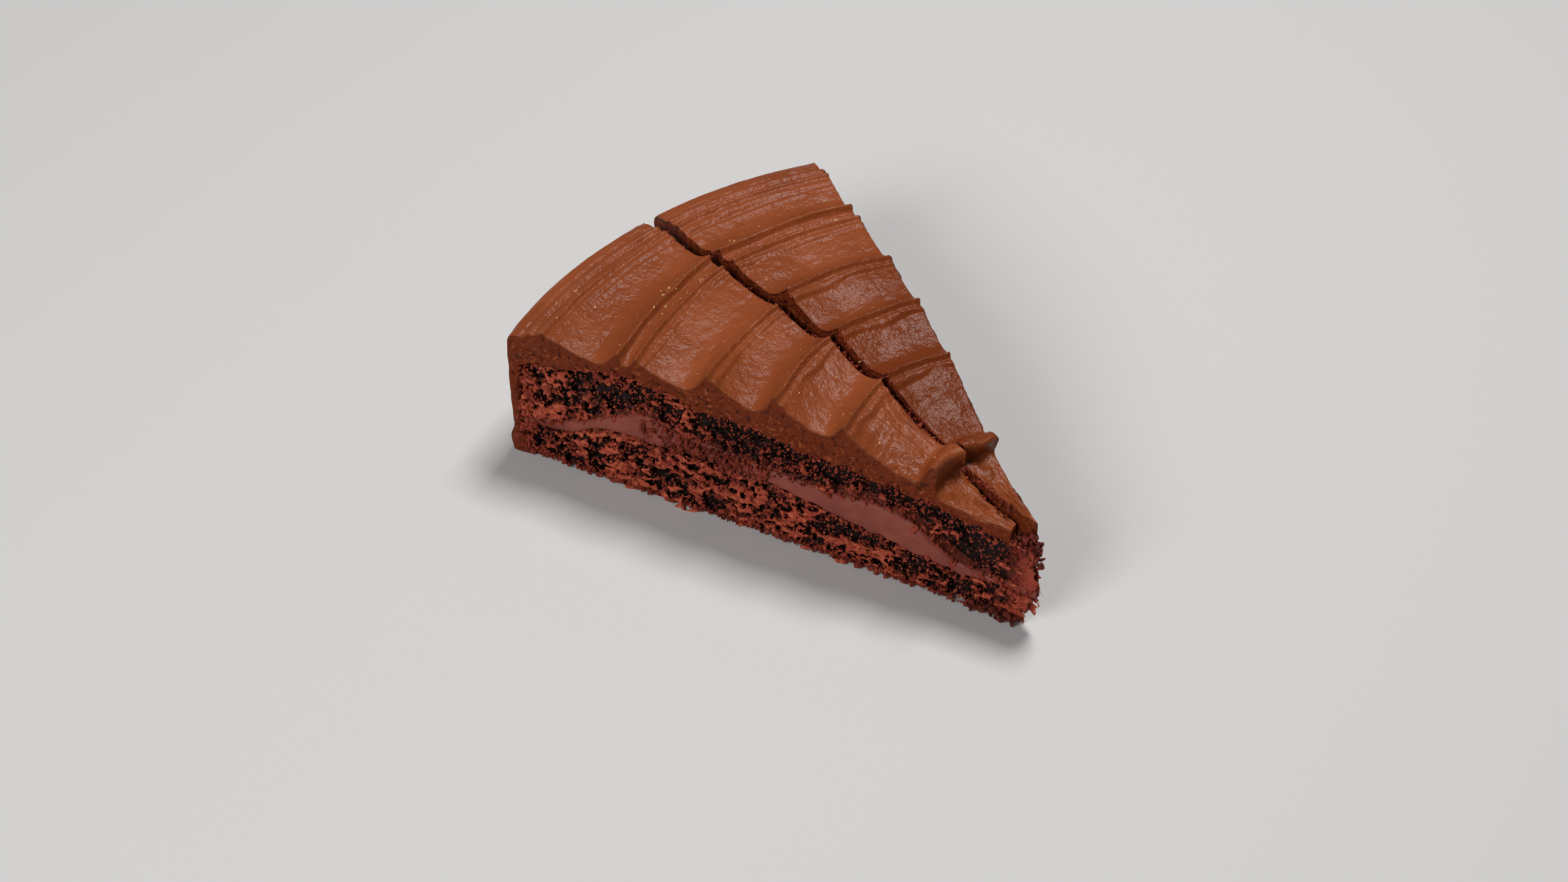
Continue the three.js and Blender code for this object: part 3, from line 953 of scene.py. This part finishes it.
# ---------------------------------------------------------------------------------------------
# Crumbs: loose crumbs that the knife left in the cut, along its edges, under the frosting, over the
# filling, at the foot and round the tip, and the fine grains that stand out of both cut faces.
def crumb_scatter():
    """A node group that puts a rough lump on every vertex, at its own size and turn."""
    group = bpy.data.node_groups.new("crumb_scatter", "GeometryNodeTree")
    face = group.interface
    sockets = {
        name: face.new_socket(name, in_out="INPUT", socket_type=kind)
        for name, kind in (
            ("Geometry", "NodeSocketGeometry"),
            ("Detail", "NodeSocketInt"),
            ("Roughness", "NodeSocketFloat"),
            ("Flatness", "NodeSocketFloat"),
            ("Seed", "NodeSocketInt"),
            ("Finish", "NodeSocketMaterial"),
        )
    }
    face.new_socket("Geometry", in_out="OUTPUT", socket_type="NodeSocketGeometry")
    entry = group.nodes.new("NodeGroupInput")

    def add(kind, inputs, output=0, **settings):
        return add_node(group, kind, settings, inputs, output)

    def random_vector(low, high):
        inputs = {0: low, 1: high, "Seed": entry.outputs["Seed"]}
        return add("FunctionNodeRandomValue", inputs, data_type="FLOAT_VECTOR")

    ball = add("GeometryNodeMeshIcoSphere", {"Radius": 0.5, "Subdivisions": entry.outputs["Detail"]})
    cloud = add("ShaderNodeTexNoise", {"Scale": 2.3, "Detail": 2.0}, "Color")
    centred = add("ShaderNodeVectorMath", {0: cloud, 1: (0.5, 0.5, 0.5)}, operation="SUBTRACT")
    push = add("ShaderNodeVectorMath", {0: centred, "Scale": entry.outputs["Roughness"]}, operation="SCALE")
    lump = add("GeometryNodeSetPosition", {"Geometry": ball, "Offset": push})
    turn = random_vector((0, 0, 0), (6.3, 6.3, 6.3))
    stretch = random_vector((0.7, 0.7, 0.6), (1.4, 1.2, 1.0))
    flat = add("ShaderNodeCombineXYZ", {"X": 1.0, "Y": 1.0, "Z": entry.outputs["Flatness"]})
    size = add("GeometryNodeInputNamedAttribute", {"Name": "size"}, data_type="FLOAT")
    shaped = add("ShaderNodeVectorMath", {0: stretch, 1: flat}, operation="MULTIPLY")
    scale = add("ShaderNodeVectorMath", {0: shaped, "Scale": size}, operation="SCALE")
    spread = add("GeometryNodeInstanceOnPoints", {
        "Points": entry.outputs["Geometry"], "Instance": lump, "Rotation": turn, "Scale": scale})
    real = add("GeometryNodeRealizeInstances", {"Geometry": spread})
    finished = add("GeometryNodeSetMaterial", {"Geometry": real, "Material": entry.outputs["Finish"]})
    leave = group.nodes.new("NodeGroupOutput")
    group.links.new(finished, leave.inputs[0])
    return group, sockets


scatter_group, scatter_sockets = crumb_scatter()


def scattered(name, clouds, material, detail, roughness, flatness, seed):
    """One baked piece with a lump at every point; a cloud is (millimetre points, sizes, depths)."""
    points, sizes, depths = (np.concatenate([cloud[k] for cloud in clouds]) for k in range(3))
    metres = (points + (apex_x, 0, 0)) * MM
    host_mesh = bpy.data.meshes.new(name + "_points")
    host_mesh.vertices.add(len(points))
    host_mesh.vertices.foreach_set("co", metres.astype(np.float32).ravel())
    for key, data in (("size", sizes * MM), ("depth", depths)):
        attribute = host_mesh.attributes.new(key, "FLOAT", "POINT")
        attribute.data.foreach_set("value", data.astype(np.float32))
    host = bpy.data.objects.new(name + "_points", host_mesh)
    bpy.context.scene.collection.objects.link(host)
    spread = host.modifiers.new("scatter", "NODES")
    spread.node_group = scatter_group
    chosen = {
        "Detail": detail, "Roughness": roughness, "Flatness": flatness, "Seed": seed, "Finish": material,
    }
    for key, value in chosen.items():
        spread[scatter_sockets[key].identifier] = value
    depsgraph = bpy.context.evaluated_depsgraph_get()
    mesh = bpy.data.meshes.new_from_object(host.evaluated_get(depsgraph), depsgraph=depsgraph)
    mesh.name = name
    host.modifiers.remove(spread)
    bpy.data.objects.remove(host)
    bpy.data.meshes.remove(host_mesh)
    piece = bpy.data.objects.new(name, mesh)
    bpy.context.scene.collection.objects.link(piece)
    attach(piece, "root")
    return piece


LARGEST_CRUMB = 2.4
SMALLEST_SHARE = 0.4
crumb_random = np.random.default_rng(77)


def crumb_sizes(count, middle, spread=0.4):
    """Sizes about a middle one, most of them close to it."""
    sizes = middle * np.exp(spread * crumb_random.standard_normal(count))
    return np.clip(sizes, SMALLEST_SHARE * middle, LARGEST_CRUMB)


def on_face(half, count, along, heights, outward, size, depth):
    """A cloud on an outer face: along it, between two heights, and standing out of it."""
    r = crumb_random.uniform(*along, count)
    low, high = heights(r)
    sizes = crumb_sizes(count, size)
    z = np.maximum(low + (high - low) * crumb_random.uniform(0, 1, count), 0.6 * sizes)
    out = crumb_random.uniform(*outward, count)
    x = half.along[0] * r + half.out[0] * out + 0.8 * tip_lean(np.maximum(r, 3), z)
    y = half.along[1] * r + half.out[1] * out
    return np.column_stack([x, y, z]), sizes, np.full(count, depth)


def at_cut(half, count, along, past, drop, size, depth):
    """A cloud along the top edge of the cut: past is the distance beyond the edge, into the gap."""
    r = crumb_random.uniform(*along, count)
    beyond = crumb_random.normal(*past, count)
    angle = CUT_ANGLE + half.side * (half_gap(r) - beyond) / r
    z = frosting_top(half, r, angle) - crumb_random.uniform(*drop, count)
    points = np.column_stack([-r * np.cos(angle), r * np.sin(angle), z])
    return points, crumb_sizes(count, size), np.full(count, depth)


def level(low, high):
    """The same two heights all along."""
    return lambda r: (low + 0 * r, high + 0 * r)


def around(value, spread):
    """From a little under a layer's edge to a little over it."""
    return lambda r: (value(r) - spread, value(r) + spread)


def over_filling(r):
    return lower_sponge_top(r), upper_sponge_foot(r)


def over_filling_at_tip(r):
    return lower_sponge_top(r), upper_sponge_foot(r) + 1


def under_frosting_at_tip(r):
    return 19.0 + 0 * r, 25.0 + 0.15 * r


def over_lower_sponge(r):
    return 0.3 + 0 * r, lower_sponge_top(r)


def over_upper_sponge(r):
    return upper_sponge_foot(r), frosting_foot(r)


# the last number of each cloud is a depth that the crumb material turns into painted shade; crumbs in the
# cut get the most
clouds = []
for half in HALVES:
    clouds += [
        on_face(half, 330, (3, 122), level(0.3, 1.6), (-0.9, 0.4), 0.85, 0.5),
        on_face(half, 40, (106, 122), over_filling, (-0.4, 0.3), 0.8, 0.4),
        on_face(half, 120, (2, 24), over_filling_at_tip, (-0.6, 0.3), 0.8, 0.3),
        at_cut(half, 130, (28, 90), (0.4, 0.4), (1.2, 7.0), 0.65, 1.0),
        at_cut(half, 90, (7, 26), (0.1, 0.5), (0.2, 2.4), 0.65, 0.75),
    ]
near, far = HALVES
clouds += [
    on_face(near, 300, (62, 94), over_filling, (-0.6, 0.4), 0.9, 0.6),
    on_face(near, 80, (3.0, 13), level(0.6, 3.4), (-0.8, 1.3), 1.15, 0.8),
    on_face(near, 190, (1.0, 8.0), under_frosting_at_tip, (-2.6, -0.2), 0.9, 0.75),
    on_face(near, 170, (119.2, 124.0), level(0.4, 25.5), (-0.6, 0.2), 0.9, 0.4),
    on_face(far, 60, (1.5, 5.5), level(21.0, 27.0), (-2.0, -0.1), 0.8, 0.75),
]
loose = scattered(
    "crumbs_loose", clouds, crumb.material, detail=2, roughness=0.8, flatness=0.7, seed=3)

# the fine grains carry the same depth for painted shade
fine_clouds = []
for half in HALVES:
    fine_clouds += [
        on_face(half, 1500, (3, 122), over_lower_sponge, (-0.7, 0.15), 0.50, 0.3),
        on_face(half, 1500, (3, 122), over_upper_sponge, (-0.7, 0.15), 0.50, 0.3),
        on_face(half, 420, (5, 121), around(frosting_foot, 0.9), (-0.6, 0.3), 0.55, 0.3),
        on_face(half, 120, (26, 105), around(upper_sponge_foot, 0.6), (-0.3, 0.3), 0.7, 0.4),
        on_face(half, 120, (26, 105), around(lower_sponge_top, 0.5), (-0.3, 0.3), 0.6, 0.3),
        at_cut(half, 230, (9, 72), (0.1, 0.2), (-0.05, 0.35), 0.36, 0.4),
        at_cut(half, 60, (72, 123), (0.1, 0.2), (0.0, 0.4), 0.34, 0.4),
    ]
grains = scattered(
    "crumbs_fine", fine_clouds, crumb.material, detail=1, roughness=0.9, flatness=0.7, seed=4)

# ---------------------------------------------------------------------------------------------
# Specks: a few pale golden crumbs that dropped on the frosting, densest along the second ridge from
# the rim. They are lumps like the loose crumbs, and smaller.
SPECK_ABOVE = 0.12


def on_top(half, count, along, inwards, size):
    """A cloud on the frosting, between two distances inwards from the outer face."""
    r = crumb_random.uniform(*along, count)
    angle = half.side * (HALF_SLICE - crumb_random.uniform(*inwards, count) / r)
    z = frosting_top(half, r, angle) + SPECK_ABOVE
    points = np.column_stack([-r * np.cos(angle), r * np.sin(angle), z])
    return points, crumb_sizes(count, size, spread=0.3), np.zeros(count)


speck_clouds = [
    on_top(near, 22, (98, 104), (16, 36), 0.42),
    on_top(near, 26, (60, 122), (3, 20), 0.40),
    on_top(near, 14, (24, 60), (2, 7), 0.38),
    on_top(far, 26, (55, 122), (4, 36), 0.40),
]
golden = Finish("golden_crumb")
toasted = golden.noise(300.0).between(0.4, 0.6)
golden.give(
    Base_Color=golden.mix(toasted, (0.62, 0.34, 0.12), (0.42, 0.19, 0.07)),
    Roughness=0.6,
)
specks = scattered(
    "crumbs_golden", speck_clouds, golden.material, detail=2, roughness=0.4, flatness=0.7, seed=6)

# ---------------------------------------------------------------------------------------------
# Floor, light and camera: a plain pale floor 0.2 mm under the slice's flat base, one soft light from
# overhead and behind, a broad weak one from the front, and the camera above the near face.
FLOOR_SIZE = 6.0
FLOOR_HEIGHT = -0.0002
LIGHT_AIM = Vector((0, 0, 0.02))
VIEW_AZIMUTH = math.radians(42.98)
VIEW_PITCH = math.radians(43.55)
VIEW_ROLL = math.radians(4.17)
VIEW_DISTANCE = 638.4
VIEW_LENS = 62.87
LOOK_BACK = 76.07
LOOK_SIDE = 1.06

bpy.ops.mesh.primitive_plane_add(size=FLOOR_SIZE, location=(0, 0, FLOOR_HEIGHT))
floor = bpy.context.object
floor.name = "floor"
pale = Finish("pale_floor")
pale.give(Base_Color=(0.57, 0.56, 0.55, 1), Roughness=0.7)
floor.data.materials.append(pale.material)


def soft_light(name, place, size, power):
    """A square soft light that is aimed at the slice."""
    lamp = bpy.data.lights.new(name, "AREA")
    lamp.shape = "RECTANGLE"
    lamp.size = size
    lamp.size_y = size
    lamp.energy = power
    holder = bpy.data.objects.new(name, lamp)
    holder.location = place
    direction = holder.location - LIGHT_AIM
    holder.rotation_euler = direction.to_track_quat("Z", "Y").to_euler()
    bpy.context.scene.collection.objects.link(holder)


soft_light("overhead_softbox", (-0.10, 0.34, 1.0), size=0.32, power=8.8)
soft_light("front_fill", (0.1, -1.0, 0.75), size=0.5, power=9.0)
world = bpy.data.worlds.new("studio")
world.use_nodes = True
backdrop = world.node_tree.nodes["Background"]
backdrop.inputs["Color"].default_value = (0.9, 0.93, 1.0, 1)
backdrop.inputs["Strength"].default_value = 0.08
bpy.context.scene.world = world
bpy.context.scene.view_settings.view_transform = "Standard"

forward = Vector((
    -math.sin(VIEW_AZIMUTH) * math.cos(VIEW_PITCH),
    math.cos(VIEW_AZIMUTH) * math.cos(VIEW_PITCH),
    -math.sin(VIEW_PITCH),
))
look = Vector(((apex_x - LOOK_BACK) * MM, LOOK_SIDE * MM, 0))
right = forward.cross(Vector((0, 0, 1))).normalized()
upward = right.cross(forward)
right_rolled = right * math.cos(VIEW_ROLL) + upward * math.sin(VIEW_ROLL)
up_rolled = upward * math.cos(VIEW_ROLL) - right * math.sin(VIEW_ROLL)
camera = bpy.data.objects.new("camera", bpy.data.cameras.new("camera"))
turned = Matrix((right_rolled, up_rolled, -forward)).transposed().to_4x4()
camera.matrix_world = Matrix.Translation(look - forward * VIEW_DISTANCE * MM) @ turned
camera.data.lens = VIEW_LENS
camera.data.sensor_width = 36
bpy.context.scene.collection.objects.link(camera)
bpy.context.scene.camera = camera
